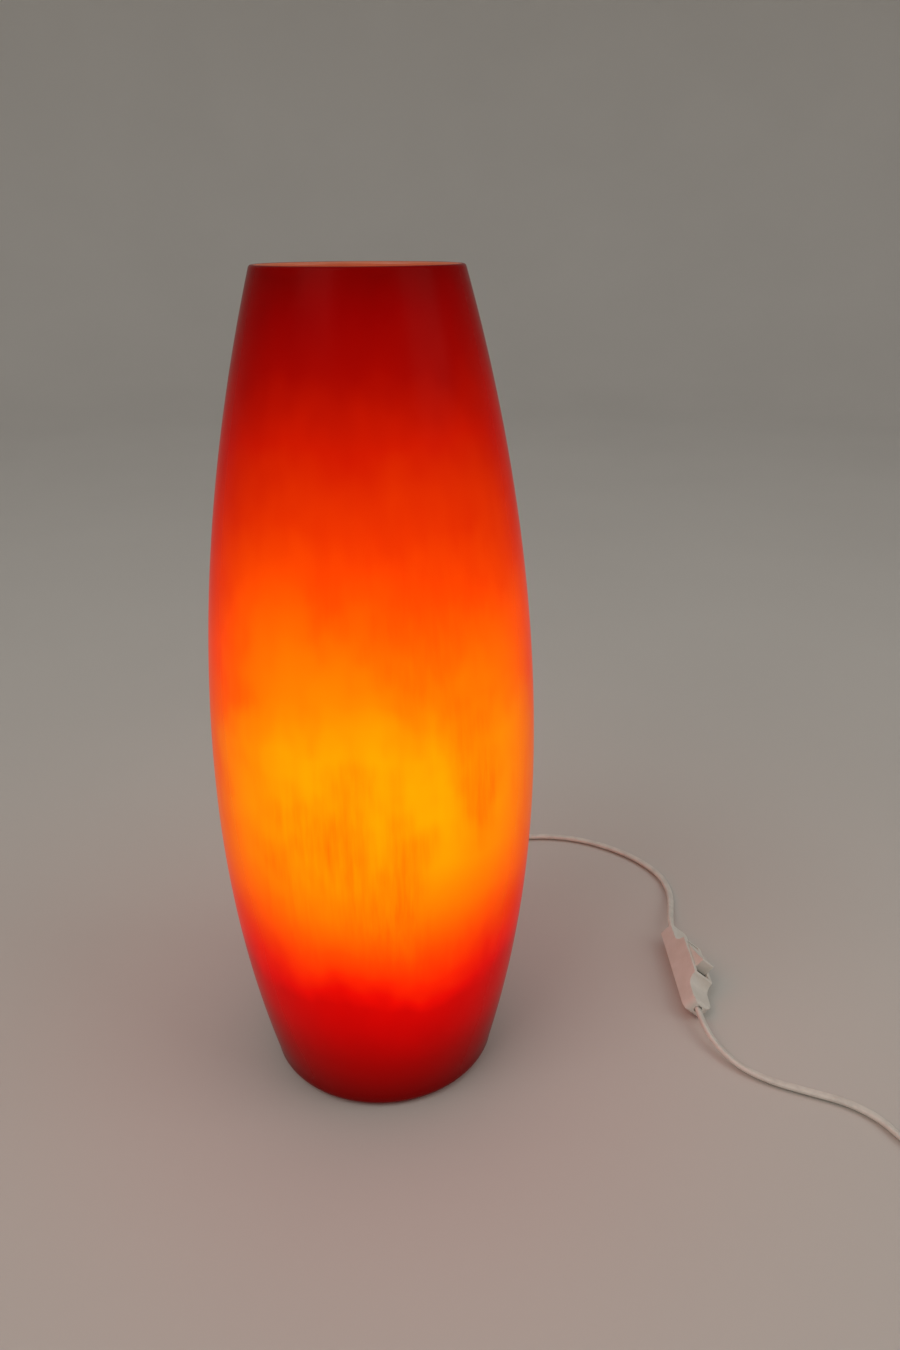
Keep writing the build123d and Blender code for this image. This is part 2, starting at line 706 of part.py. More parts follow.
with BuildPart() as switch_cover:
    with BuildSketch(SIDE.offset(-WIDE)):
        with BuildLine():
            low = (BLOCK_U[0] - BLOCK_FOOT, BODY_V)
            high = (BLOCK_U[0], BLOCK_V - 0.6)
            high_after = (BLOCK_U[1], BLOCK_V - 0.6)
            low_after = (BLOCK_U[1] + BLOCK_FOOT, BODY_V)
            Polyline(low, (1.6, BODY_V - 0.4), (0, BODY_V - 2), (0, SPLIT_V), (SWITCH_LONG, SPLIT_V))
            Polyline((SWITCH_LONG, SPLIT_V), (SWITCH_LONG, BODY_V - 2), (SWITCH_LONG - 1.6, BODY_V - 0.4), low_after)
            TangentArc(low, high, tangent=(1, 0))
            TangentArc(low_after, high_after, tangent=(-1, 0))
            Polyline(high, (BLOCK_U[0] + 0.8, BLOCK_V), (BLOCK_U[1] - 0.8, BLOCK_V), high_after)
        make_face()
    extrude(amount=SWITCH_WIDE)
    switch_outline()
    switch_box(HOLLOW_U, (SPLIT_V, BODY_V - 2 * SHELL_WALL), (-INSIDE, INSIDE), Mode.SUBTRACT)
    block_hollow = (BLOCK_U[0] + SHELL_WALL, BLOCK_U[1] - SHELL_WALL)
    switch_box(block_hollow, (SPLIT_V, BLOCK_V - SHELL_WALL), (-INSIDE, INSIDE), Mode.SUBTRACT)
    opening = (PIVOT_U - WINDOW, PIVOT_U + WINDOW)
    switch_box(opening, (SPLIT_V, BLOCK_V + 1), (-ROCKER_WIDE / 2 - 0.3, ROCKER_WIDE / 2 + 0.3), Mode.SUBTRACT)
    lead_channel()
    switch_posts(1.25, (SPLIT_V, SPLIT_V + 3.4), Mode.SUBTRACT)
    with BuildSketch(SIDE.offset(-WIDE + 0.5)):
        with Locations((PIVOT_U, PIVOT_V)):
            Circle(1.25)
    extrude(amount=SWITCH_WIDE - 1, mode=Mode.SUBTRACT)
save(switch_cover.part, "switch_cover")

with BuildPart() as switch_screws:
    switch_posts(2.5, (0.2, 1.8))
    switch_posts(1.2, (1.8, SPLIT_V + 3.2))
    with BuildSketch(PLAN.offset(0.2)):
        with Locations(*[(u, -w) for u, w in SCREWS_UW]):
            Rectangle(3, 0.7)
    extrude(amount=0.8, mode=Mode.SUBTRACT)
save(switch_screws.part, "switch_screws")

with BuildPart() as rocker_pin:
    with BuildSketch(SIDE.offset(-WIDE + 0.8)):
        with Locations((PIVOT_U, PIVOT_V)):
            Circle(1.2)
    extrude(amount=SWITCH_WIDE - 1.6)
save(rocker_pin.part, "rocker_pin")

# The rocker is drawn level about its pivot, then tilted to where it is pressed down at the lamp's end.
PIVOT_AT = SIDE.from_local_coords(Vector(PIVOT_U, PIVOT_V, 0))
TILTED_U = Vector(0, -cos(radians(ROCKER_TILT)), 0) + Vector(*V_DIR) * sin(radians(ROCKER_TILT))
TILTED = Plane(origin=PIVOT_AT, x_dir=TILTED_U, z_dir=W_DIR)
ROCKER_HALF = ROCKER_LONG / 2
ROCKER_FOOT = ROCKER_HALF - 2.4  # its ends lean in, so that the raised one stands upright
with BuildPart() as switch_rocker:
    with BuildSketch(TILTED.offset(-ROCKER_WIDE / 2)):
        with BuildLine():
            Polyline((-ROCKER_HALF, ROCKER_TOP), (-ROCKER_FOOT, 1), (-3, -1.8), (3, -1.8))
            Polyline((3, -1.8), (ROCKER_FOOT, 1), (ROCKER_HALF, ROCKER_TOP))
            ThreePointArc((ROCKER_HALF, ROCKER_TOP), (0, ROCKER_TOP - 0.6), (-ROCKER_HALF, ROCKER_TOP))
        make_face()
        Circle(1.2, mode=Mode.SUBTRACT)
    extrude(amount=ROCKER_WIDE)
    top_corners = switch_rocker.edges().filter_by(lambda e: abs(e.length - ROCKER_WIDE) < 0.01)
    fillet(top_corners.sort_by(Axis(PIVOT_AT, V_DIR))[-1], 0.8)
save(switch_rocker.part, "switch_rocker")

with BuildPart() as switch_bridge:
    with BuildSketch(TILTED.offset(-2)):
        with BuildLine():
            Polyline((-7.5, -2.2), (-7.5, -2.8), (7.5, -2.8), (7.5, -2.2), (1.5, -1.8), (-1.5, -1.8), close=True)
        make_face()
    extrude(amount=4)
save(switch_bridge.part, "switch_bridge")

with BuildPart() as switch_contacts:
    switch_box((PIVOT_U - 10.5, PIVOT_U - 4.5), (SHELL_WALL, PIVOT_V - 4.9), (-3, 3))
    switch_box((PIVOT_U - 1.5, PIVOT_U + 1.5), (SHELL_WALL, PIVOT_V - 3.6), (-3, 3))
save(switch_contacts.part, "switch_contacts")

LINK_SCREWS_UW = [(64.3, -3.2), (68.7, -3.2)]
with BuildPart() as neutral_link:
    switch_box((61.8, 71.2), (SHELL_WALL, 6), (-5.6, -0.8))
    switch_posts(1.2, (4.5, 7), Mode.SUBTRACT, LINK_SCREWS_UW)
save(neutral_link.part, "neutral_link")

with BuildPart() as link_screws:
    switch_posts(1.15, (4.5, 6.8), at=LINK_SCREWS_UW)
save(link_screws.part, "link_screws")

# ---------------------------------------------------------------- plug
PLUG = Plane(origin=PLUG_AT, x_dir=(1, 0, 0), z_dir=(0, 1, 0))  # across, down, along the plug
with BuildPart() as plug_body:
    for along, wide, thick in ((0, 9, 8), (9, 13, 9.5), (20, PLUG_WIDE - 4, 12), (27, PLUG_WIDE, PLUG_THICK)):
        with BuildSketch(PLUG.offset(along)):
            RectangleRounded(wide, thick, min(thick, wide) * 0.42)
    loft()
    with BuildSketch(PLUG.offset(27)):
        RectangleRounded(PLUG_WIDE, PLUG_THICK, PLUG_THICK * 0.42)
    extrude(amount=PLUG_LONG - 27)
    fillet(plug_body.edges().group_by(Axis.Y)[-1], 1)
save(plug_body.part, "plug_body")

pin_places = [(-PIN_APART / 2, 0), (PIN_APART / 2, 0)]
with BuildPart() as plug_sleeves:
    with BuildSketch(PLUG.offset(PLUG_LONG)):
        with Locations(*pin_places):
            Circle(PIN_R - 0.2)
            Circle(PIN_R - 0.5, mode=Mode.SUBTRACT)
    extrude(amount=SLEEVE_LONG)
save(plug_sleeves.part, "plug_sleeves")

with BuildPart() as plug_pins:
    with BuildSketch(PLUG.offset(PLUG_LONG)):
        with Locations(*pin_places):
            Circle(PIN_R - 0.5)
    extrude(amount=SLEEVE_LONG)
    with BuildSketch(PLUG.offset(PLUG_LONG + SLEEVE_LONG)):
        with Locations(*pin_places):
            Circle(PIN_R)
    extrude(amount=PIN_LONG - SLEEVE_LONG)
    fillet(plug_pins.edges().group_by(Axis.Y)[-1], 1.2)
save(plug_pins.part, "plug_pins")
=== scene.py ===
"""Table lamp in a tall barrel of cased glass, with its flat flex, in-line switch and plug.

The frame gives every hard part. This script rebuilds the glass and the flex, gives each part its
finish, and sets a pale floor, soft lights and a camera round them. Metres, Z up, origin on the table
under the middle of the glass.
"""

import math

import bmesh
import bpy
from bpy.props import FloatProperty, FloatVectorProperty, IntProperty, PointerProperty
from mathutils import Matrix, Vector


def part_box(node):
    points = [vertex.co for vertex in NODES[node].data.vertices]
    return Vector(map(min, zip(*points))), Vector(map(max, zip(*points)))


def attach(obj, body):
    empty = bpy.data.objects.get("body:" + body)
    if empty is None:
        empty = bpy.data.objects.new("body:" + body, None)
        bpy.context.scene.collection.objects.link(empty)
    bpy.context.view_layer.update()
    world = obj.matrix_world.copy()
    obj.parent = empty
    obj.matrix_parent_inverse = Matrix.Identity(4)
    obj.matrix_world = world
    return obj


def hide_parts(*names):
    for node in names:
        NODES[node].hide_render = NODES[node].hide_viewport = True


bl_info = {
    "name": "Cased glass table lamp",
    "version": (1, 0, 0),
    "blender": (4, 5, 0),
    "location": "3D View > Sidebar > Lamp",
    "description": "Glass, flex and finishes of a barrel-shaped table lamp on its packed frame",
    "category": "Object",
}

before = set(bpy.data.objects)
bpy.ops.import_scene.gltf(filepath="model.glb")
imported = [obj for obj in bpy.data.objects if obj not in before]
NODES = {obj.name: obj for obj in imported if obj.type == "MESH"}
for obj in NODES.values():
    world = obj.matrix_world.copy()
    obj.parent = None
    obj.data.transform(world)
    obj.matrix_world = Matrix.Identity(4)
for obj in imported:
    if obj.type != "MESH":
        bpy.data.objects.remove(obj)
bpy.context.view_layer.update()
GLASS_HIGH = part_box("glass_shade")[1]
MM = 0.001

# The glass: the height of its widest place, its outside radii at the rim and the foot, the opening
# under it, and the arched notch that the flex leaves by.
BELLY_HEIGHT = 193 * MM
RIM_RADIUS = 51.4 * MM
FOOT_RADIUS = 66 * MM
MOUTH_RADIUS = 55.5 * MM
NOTCH_RADIUS = 7 * MM
NOTCH_SILL = 5 * MM

# The flex lies in two stretches. These are the control points of each, in metres.
LAMP_ROUTE = [
    (0, 0.086, 0.003),
    (0, 0.112, 0.0025),
    (0.007, 0.146, 0.0025),
    (0.027, 0.183, 0.0025),
    (0.062, 0.214, 0.0025),
    (0.105, 0.231, 0.0025),
    (0.148, 0.227, 0.0025),
    (0.186, 0.204, 0.0025),
    (0.209, 0.173, 0.0025),
    (0.212, 0.143, 0.0032),
    (0.2065, 0.117, 0.0065),
    (0.2024, 0.097, 0.0089),
    (0.2024, 0.081, 0.009),
]
PLUG_ROUTE = [
    (0.2024, 0.012, 0.009),
    (0.2024, -0.004, 0.0089),
    (0.207, -0.021, 0.0058),
    (0.217, -0.037, 0.003),
    (0.233, -0.0495, 0.0026),
    (0.254, -0.0585, 0.0026),
    (0.275, -0.067, 0.0026),
    (0.2895, -0.080, 0.0026),
    (0.297, -0.097, 0.0026),
    (0.306, -0.110, 0.0026),
]
TAIL_ROUTE = [
    (0.382, -0.106, 0.0078),
    (0.3843, -0.0875, 0.007),
    (0.384, -0.070, 0.0068),
]
COIL_MIDDLE = (0.347, -0.118)
# The switch lies rolled up on its lower edge, and the flex twists to meet it.
SWITCH_ACROSS = Vector((-0.766, 0, 0.643))


# ---------------------------------------------------------------- small tools
def linear(code, alpha=1.0):
    """An sRGB hex colour as the linear values that shaders want."""
    parts = [int(code[i : i + 2], 16) / 255 for i in (0, 2, 4)]
    return tuple(c / 12.92 if c <= 0.04045 else ((c + 0.055) / 1.055) ** 2.4 for c in parts) + (alpha,)


def add(tree, kind, settings=None, inputs=None, stops=()):
    """Adds a node, sets its properties, and sets or links its inputs. A ramp also takes its stops."""
    node = tree.nodes.new(kind)
    for key, value in (settings or {}).items():
        setattr(node, key, value)
    for k, (place, colour) in enumerate(stops):
        marks = node.color_ramp.elements
        mark = marks[k] if k < len(marks) else marks.new(place)
        mark.position, mark.color = place, colour
    for key, value in (inputs or {}).items():
        if isinstance(value, bpy.types.NodeSocket):
            tree.links.new(value, node.inputs[key])
        else:
            node.inputs[key].default_value = value
    return node


def finish_of(name, **sockets):
    """A new material with one principled shader, whose constants are set on its own sockets."""
    material = bpy.data.materials.new(name)
    material.use_nodes = True
    tree = material.node_tree
    tree.nodes.clear()
    shader = add(tree, "ShaderNodeBsdfPrincipled")
    for key, value in sockets.items():
        shader.inputs[key.replace("_", " ")].default_value = value
    add(tree, "ShaderNodeOutputMaterial", inputs={"Surface": shader.outputs[0]})
    return material, tree, shader


def dress(material, *names):
    """Puts a finish on parts that stay as the frame has them."""
    for name in names:
        mesh = NODES[name].data
        mesh.materials.clear()
        mesh.materials.append(material)


def new_piece(name, mesh, body):
    """Links a mesh as a piece that moves with a body."""
    piece = bpy.data.objects.new(name, mesh)
    bpy.context.scene.collection.objects.link(piece)
    for face in mesh.polygons:
        face.use_smooth = True
    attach(piece, body)
    return piece


def lathe(name, outline, steps, closed=True):
    """Turns an outline of (radius, height) round the lamp's axis into a mesh."""
    mesh = bmesh.new()
    rings = []
    for k in range(steps):
        x, y = math.cos(2 * math.pi * k / steps), math.sin(2 * math.pi * k / steps)
        rings.append([mesh.verts.new((r * x, r * y, z)) for r, z in outline])
    count = len(outline)
    for k in range(steps):
        here, there = rings[k], rings[(k + 1) % steps]
        for i in range(count if closed else count - 1):
            j = (i + 1) % count
            mesh.faces.new((here[i], there[i], there[j], here[j]))
    data = bpy.data.meshes.new(name)
    bmesh.ops.recalc_face_normals(mesh, faces=mesh.faces)
    mesh.to_mesh(data)
    mesh.free()
    return data


def smooth_line(name, points, resolution=12):
    """The points of one smooth spline that has the given points as its control points."""
    curve = bpy.data.curves.new(name, "CURVE")
    curve.dimensions = "3D"
    spline = curve.splines.new("NURBS")
    spline.points.add(len(points) - 1)
    for point, place in zip(spline.points, points):
        point.co = (*place, 1)
    spline.order_u = 3
    spline.use_endpoint_u = True
    spline.resolution_u = resolution
    carrier = bpy.data.objects.new(name, curve)
    mesh = bpy.data.meshes.new_from_object(carrier)
    line = [v.co.copy() for v in mesh.vertices]
    bpy.data.objects.remove(carrier)
    bpy.data.curves.remove(curve)
    bpy.data.meshes.remove(mesh)
    return line


def lengths_along(line):
    """Distance from the line's start to each of its points."""
    total = [0.0]
    for a, b in zip(line, line[1:]):
        total.append(total[-1] + (b - a).length)
    return total


def flex_mesh(name, line, broad_at, width, height, sides=20):
    """A flat two-core flex along a line, with a shallow groove between its cores.

    broad_at gives the direction of its broad side at a distance along it.
    """
    along = lengths_along(line)
    core = height / 2
    spread = width / 2 - core
    mesh = bmesh.new()
    rings = []
    for i, place in enumerate(line):
        ahead = line[min(i + 1, len(line) - 1)] - line[max(i - 1, 0)]
        ahead.normalize()
        broad = broad_at(along[i], ahead)
        broad = (broad - ahead * broad.dot(ahead)).normalized()
        thin = ahead.cross(broad)
        ring = []
        for k in range(sides):
            angle = 2 * math.pi * k / sides
            side = math.cos(angle)
            across = core * side + math.copysign(spread, side) * abs(side) ** 0.25
            waist = 1 - 0.16 * math.exp(-((across / (0.32 * core)) ** 2))
            ring.append(mesh.verts.new(place + broad * across + thin * core * math.sin(angle) * waist))
        rings.append(ring)
    for here, there in zip(rings, rings[1:]):
        for k in range(sides):
            mesh.faces.new((here[k], here[(k + 1) % sides], there[(k + 1) % sides], there[k]))
    mesh.faces.new(rings[0])
    mesh.faces.new(rings[-1][::-1])
    bmesh.ops.recalc_face_normals(mesh, faces=mesh.faces)
    data = bpy.data.meshes.new(name)
    mesh.to_mesh(data)
    mesh.free()
    return data


def ease(value):
    """A smooth step from 0 to 1."""
    value = min(1, max(0, value))
    return value * value * (3 - 2 * value)


# ---------------------------------------------------------------- settings
class LampGlassSettings(bpy.types.PropertyGroup):
    """Sizes and glow of the glass."""

    wall: FloatProperty(
        name="Wall", description="Thickness of the glass", default=3.4 * MM, unit="LENGTH", min=MM
    )
    glow: FloatProperty(
        name="Glow", description="How bright the lit glass is", default=2.2, min=0, max=10
    )
    segments: IntProperty(name="Segments", description="Faces round the glass", default=160, min=48)
    colour_layer: FloatVectorProperty(
        name="Colour layer", description="What one straight pass through the coloured glass lets by",
        subtype="COLOR", size=4, default=(0.65, 0.35, 0.3, 1),
    )


class LampFlexSettings(bpy.types.PropertyGroup):
    """Sizes and colour of the flex."""

    width: FloatProperty(
        name="Width", description="Broad side", default=5.0 * MM, unit="LENGTH", min=MM
    )
    height: FloatProperty(
        name="Height", description="Thin side", default=3.2 * MM, unit="LENGTH", min=MM
    )
    turns: FloatProperty(name="Turns", description="Turns in the coil", default=6.5, min=0.5)
    colour: FloatVectorProperty(
        name="Colour", description="Sheath", subtype="COLOR", size=4, default=linear("E9E6DE")
    )


class LampStudioSettings(bpy.types.PropertyGroup):
    """Camera, floor and lights."""

    lens: FloatProperty(
        name="Lens", description="Focal length on a 36 mm side", default=28.0, unit="CAMERA", min=10
    )
    floor_colour: FloatVectorProperty(
        name="Floor", description="Plain floor", subtype="COLOR", size=4, default=linear("D6D3CE")
    )
    key_power: FloatProperty(
        name="Key", description="Power of the large light", default=10.0, unit="POWER", min=0
    )
    fill_power: FloatProperty(
        name="Fill", description="Power of the side light", default=5.0, unit="POWER", min=0
    )
    room_level: FloatProperty(name="Room", description="Light from all round", default=0.5, min=0)


# ---------------------------------------------------------------- glass
def glow_stops():
    """Painted glow of the lit glass, the bulb's light through it, from its foot to its rim, each as a
    height in mm and an sRGB colour.
    """
    return [
        # Deep red up to about 86 mm is painted shadow of the holder's ring. The amber band from 146 to 235
        # mm is painted light where the glass is nearest the bulb.
        (0, "3C0000"),
        (14, "620000"),
        (40, "8A0000"),
        (66, "B00000"),
        (86, "C20300"),
        (95, "DA0F00"),
        (106, "EA3800"),
        (122, "F26D00"),
        (146, "FFAB00"),
        (172, "FFD200"),
        (200, "FFDC00"),
        (235, "FFD200"),
        (262, "FFA600"),
        (290, "FF8B00"),
        (322, "E66300"),
        (352, "CC4200"),
        (384, "B01F00"),
        (416, "860700"),
        (440, "740000"),
        (460, "5E0000"),
    ]


class LAMP_OT_glass(bpy.types.Operator):
    """Blows the glass again as a fine mesh, cuts its notch and gives it its lit cased finish"""

    bl_idname = "lamp.glass"
    bl_label = "Glass"

    def execute(self, context):
        settings = context.scene.lamp_glass
        outline = self.outline(settings.wall)
        mesh = lathe("glass", outline, settings.segments)
        piece = new_piece("glass", mesh, "shade")
        self.cut_notch(piece)
        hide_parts("glass_shade")
        piece.data.materials.append(self.cased_glass(settings))
        piece.data.materials.append(self.opal_lining())
        self.split_sides(piece.data)
        return {"FINISHED"}

    @staticmethod
    def outline(wall):
        """Half section of the glass: two arcs that meet at the belly, a round foot and a polished rim."""
        high, belly = GLASS_HIGH.z, GLASS_HIGH.x
        side_low, corner_wide = 8.8 * MM, 7.8 * MM  # top of the rounded foot, and how far in it reaches
        inner_low, lip_round = 7.5 * MM, 4.1 * MM  # foot of the inner wall, and its round into the mouth
        side_top = high - wall / 2
        rows = 72

        def radius(z, inset):
            end_r, end_z = (RIM_RADIUS, high) if z > BELLY_HEIGHT else (FOOT_RADIUS, 0)
            drop = belly - end_r
            arc = ((end_z - BELLY_HEIGHT) ** 2 + drop**2) / (2 * drop)
            return belly - arc + math.sqrt((arc - inset) ** 2 - (z - BELLY_HEIGHT) ** 2)

        outside, inside = [], []
        for k in range(rows + 1):
            z = side_low + (side_top - side_low) * k / rows
            outside.append((radius(z, 0), z))
            z = inner_low + (side_top - inner_low) * k / rows
            inside.append((radius(z, wall), z))
        foot = []
        corner_r = radius(side_low, 0) - corner_wide
        for k in range(8):
            angle = -math.pi / 2 + (math.pi / 2 - 0.2) * k / 8
            foot.append((corner_r + corner_wide * math.cos(angle), side_low * (1 + math.sin(angle))))
        rim = []
        rim_r = (outside[-1][0] + inside[-1][0]) / 2
        for k in range(1, 8):
            angle = math.pi * k / 8
            rim.append((rim_r + wall / 2 * math.cos(angle), side_top + wall / 2 * math.sin(angle)))
        lip = []
        lip_r = inside[0][0] - lip_round
        for k in range(6):
            angle = -math.pi / 2 * (k + 1) / 6
            lip.append((lip_r + lip_round * math.cos(angle), inner_low + lip_round * math.sin(angle)))
        # The shelf's edge round the mouth, eased over about a millimetre above and below.
        edge = [
            (MOUTH_RADIUS + out * MM, z * MM)
            for out, z in ((1.2, 3.4), (0.4, 3.1), (0, 2.4), (0, 0.7), (0.2, 0.2), (0.8, 0))
        ]
        return foot + outside + rim + inside[::-1] + lip + edge

    @staticmethod
    def cut_notch(piece):
        """Takes the arched notch for the flex out of the foot, at the back."""
        cutter_mesh = bmesh.new()
        below, front, behind = -10 * MM, 50 * MM, 80 * MM
        arch = [(-NOTCH_RADIUS, below), (NOTCH_RADIUS, below)]
        for k in range(13):
            angle = math.pi * k / 12
            arch.append((NOTCH_RADIUS * math.cos(angle), NOTCH_SILL + NOTCH_RADIUS * math.sin(angle)))
        near = [cutter_mesh.verts.new((x, front, z)) for x, z in arch]
        far = [cutter_mesh.verts.new((x, behind, z)) for x, z in arch]
        cutter_mesh.faces.new(near)
        cutter_mesh.faces.new(far[::-1])
        for k in range(len(arch)):
            n = (k + 1) % len(arch)
            cutter_mesh.faces.new((near[k], near[n], far[n], far[k]))
        bmesh.ops.recalc_face_normals(cutter_mesh, faces=cutter_mesh.faces)
        data = bpy.data.meshes.new("notch_cutter")
        cutter_mesh.to_mesh(data)
        cutter_mesh.free()
        cutter = bpy.data.objects.new("notch_cutter", data)
        bpy.context.scene.collection.objects.link(cutter)
        cut = piece.modifiers.new("notch", "BOOLEAN")
        cut.object = cutter
        cut.operation = "DIFFERENCE"
        cut.solver = "EXACT"
        bpy.context.view_layer.update()
        graph = bpy.context.evaluated_depsgraph_get()
        result = bpy.data.meshes.new_from_object(piece.evaluated_get(graph))
        piece.modifiers.remove(cut)
        piece.data = result
        bpy.data.objects.remove(cutter)
        for face in result.polygons:
            face.use_smooth = True

    @staticmethod
    def split_sides(mesh):
        """Gives the faces that look at the bulb the opal lining."""
        for face in mesh.polygons:
            middle = face.center
            outward = Vector((middle.x, middle.y, 0)).normalized()
            if face.normal.dot(outward) < -0.2 and middle.z > 0.004:
                face.material_index = 1

    @staticmethod
    def cased_glass(settings):
        """Mouth-blown cased glass: a thin orange-red layer over opal, acid-etched to a satin.

        Lit from inside, its glow is painted on: the bulb as a broad amber band with soft clouds where the
        colour layer is thicker, fine upright drawn streaks, and a painted shadow from the holder's ring
        below it.
        """
        # The colour layer tints what comes through it, more so where it is seen at a slant.
        material, tree, shader = finish_of(
            "cased_glass_blown_satin", Roughness=0.36, IOR=1.5, Specular_IOR_Level=0.0,
            Coat_Weight=1.0, Coat_IOR=1.1, Coat_Roughness=0.24, Coat_Tint=settings.colour_layer,
        )
        place = add(tree, "ShaderNodeTexCoord").outputs["Object"]
        split = add(tree, "ShaderNodeSeparateXYZ", inputs={"Vector": place})
        level = add(
            tree, "ShaderNodeMapRange",
            inputs={"Value": split.outputs["Z"], "From Min": 0.0, "From Max": GLASS_HIGH.z},
        )
        # Clouds about 60 mm across, drawn bands about 24 mm wide, and streaks about 4 mm wide.
        tall = add(tree, "ShaderNodeMapping", inputs={"Vector": place, "Scale": (1, 1, 0.6)})
        clouds = add(
            tree, "ShaderNodeTexNoise",
            inputs={"Vector": tall.outputs[0], "Scale": 17.0, "Detail": 3.0, "Roughness": 0.55},
        )
        drawn = add(tree, "ShaderNodeMapping", inputs={"Vector": place, "Scale": (1, 1, 0.1)})
        bands = add(
            tree, "ShaderNodeTexNoise",
            inputs={"Vector": drawn.outputs[0], "Scale": 42.0, "Detail": 2.0, "Roughness": 0.5},
        )
        streaks = add(
            tree, "ShaderNodeTexNoise",
            inputs={"Vector": drawn.outputs[0], "Scale": 240.0, "Detail": 3.0, "Roughness": 0.6},
        )
        # The glow's edges wander up and down with the clouds by up to 12 mm, but not at the foot.
        wander = add(
            tree, "ShaderNodeMapRange",
            inputs={"Value": clouds.outputs["Fac"], "From Min": 0.3, "From Max": 0.7,
                    "To Min": -0.026, "To Max": 0.026},
        )
        loose = add(
            tree, "ShaderNodeMapRange",
            inputs={"Value": level.outputs[0], "From Min": 0.07, "From Max": 0.2},
        )
        shifted = add(
            tree, "ShaderNodeMath", {"operation": "MULTIPLY_ADD"},
            {0: wander.outputs[0], 1: loose.outputs[0], 2: level.outputs[0]},
        )
        top = GLASS_HIGH.z / MM
        # Painted light and shade: this ramp carries the bulb's light band and the holder ring's shadow.
        glow = add(
            tree, "ShaderNodeValToRGB", inputs={"Fac": shifted.outputs[0]},
            stops=[(height / top, linear(code)) for height, code in glow_stops()],
        )
        # Where the glass is hot, thick places show as darker orange. Few do at the foot and the rim.
        hot = add(
            tree, "ShaderNodeValToRGB", inputs={"Fac": level.outputs[0]},
            stops=[
                (0.15, (0, 0, 0, 1)), (0.27, (0.9, 0.9, 0.9, 1)), (0.4, (1, 1, 1, 1)),
                (0.55, (0.75, 0.75, 0.75, 1)), (0.8, (0.25, 0.25, 0.25, 1)), (1.0, (0.1, 0.1, 0.1, 1)),
            ],
        )
        thick = add(
            tree, "ShaderNodeValToRGB", inputs={"Fac": clouds.outputs["Fac"]},
            stops=[(0.4, (0, 0, 0, 1)), (0.62, (1, 1, 1, 1))],
        )
        thick.color_ramp.interpolation = "EASE"
        lines = add(
            tree, "ShaderNodeMath", {"operation": "MULTIPLY"},
            {0: streaks.outputs["Fac"], 1: thick.outputs["Color"]},
        )
        uneven = add(
            tree, "ShaderNodeMath", {"operation": "MULTIPLY_ADD"},
            {0: bands.outputs["Fac"], 1: 0.35, 2: lines.outputs[0]},
        )
        depth = add(
            tree, "ShaderNodeMath", {"operation": "MULTIPLY", "use_clamp": True},
            {0: uneven.outputs[0], 1: hot.outputs["Color"]},
        )
        shaded = add(tree, "ShaderNodeMix", {"data_type": "RGBA", "blend_type": "MULTIPLY"})
        tree.links.new(depth.outputs[0], shaded.inputs["Factor"])
        tree.links.new(glow.outputs["Color"], shaded.inputs[6])
        shaded.inputs[7].default_value = (1.0, 0.38, 0.3, 1)
        tree.links.new(shaded.outputs[2], shader.inputs["Emission Color"])
        shader.inputs["Emission Strength"].default_value = settings.glow
        # Unlit body colour: deep red glass, a little deeper where the layer is thick.
        body = add(
            tree, "ShaderNodeValToRGB", inputs={"Fac": clouds.outputs["Fac"]},
            stops=[(0.3, linear("4A0602")), (0.7, linear("5E0C04"))],
        )
        tree.links.new(body.outputs["Color"], shader.inputs["Base Color"])
        # Faint waves from blowing, 25 mm long and under 0.1 mm deep.
        waves = add(tree, "ShaderNodeTexNoise", inputs={"Vector": place, "Scale": 38.0, "Detail": 1.0})
        bump = add(
            tree, "ShaderNodeBump",
            inputs={"Strength": 0.15, "Distance": 0.0004, "Height": waves.outputs["Fac"]},
        )
        tree.links.new(bump.outputs[0], shader.inputs["Normal"])
        return material

    @staticmethod
    def opal_lining():
        """Opal glass on the inside, milk-white, with the bulb's light on it painted as a warm glow that
        fades away from the bulb.
        """
        material, tree, shader = finish_of("opal_glass_lining", Roughness=0.25, IOR=1.5)
        place = add(tree, "ShaderNodeTexCoord").outputs["Object"]
        split = add(tree, "ShaderNodeSeparateXYZ", inputs={"Vector": place})
        level = add(
            tree, "ShaderNodeMapRange",
            inputs={"Value": split.outputs["Z"], "From Min": 0.0, "From Max": GLASS_HIGH.z},
        )
        # Painted light of the bulb on the lining: brightest at bulb height, darker towards the foot and the
        # rim.
        glow = add(
            tree, "ShaderNodeValToRGB", inputs={"Fac": level.outputs[0]},
            stops=[
                (0.0, linear("4A1206")), (0.2, linear("8A2A10")), (0.45, linear("FFA850")),
                (0.7, linear("C84A1C")), (0.9, linear("982A0E")), (1.0, linear("8A240C")),
            ],
        )
        tree.links.new(glow.outputs["Color"], shader.inputs["Emission Color"])
        shader.inputs["Emission Strength"].default_value = 0.6
        milk = add(tree, "ShaderNodeTexNoise", inputs={"Vector": place, "Scale": 60.0, "Detail": 2.0})
        body = add(
            tree, "ShaderNodeValToRGB", inputs={"Fac": milk.outputs["Fac"]},
            stops=[(0.3, linear("A87454")), (0.7, linear("B48060"))],
        )
        tree.links.new(body.outputs["Color"], shader.inputs["Base Color"])
        return material


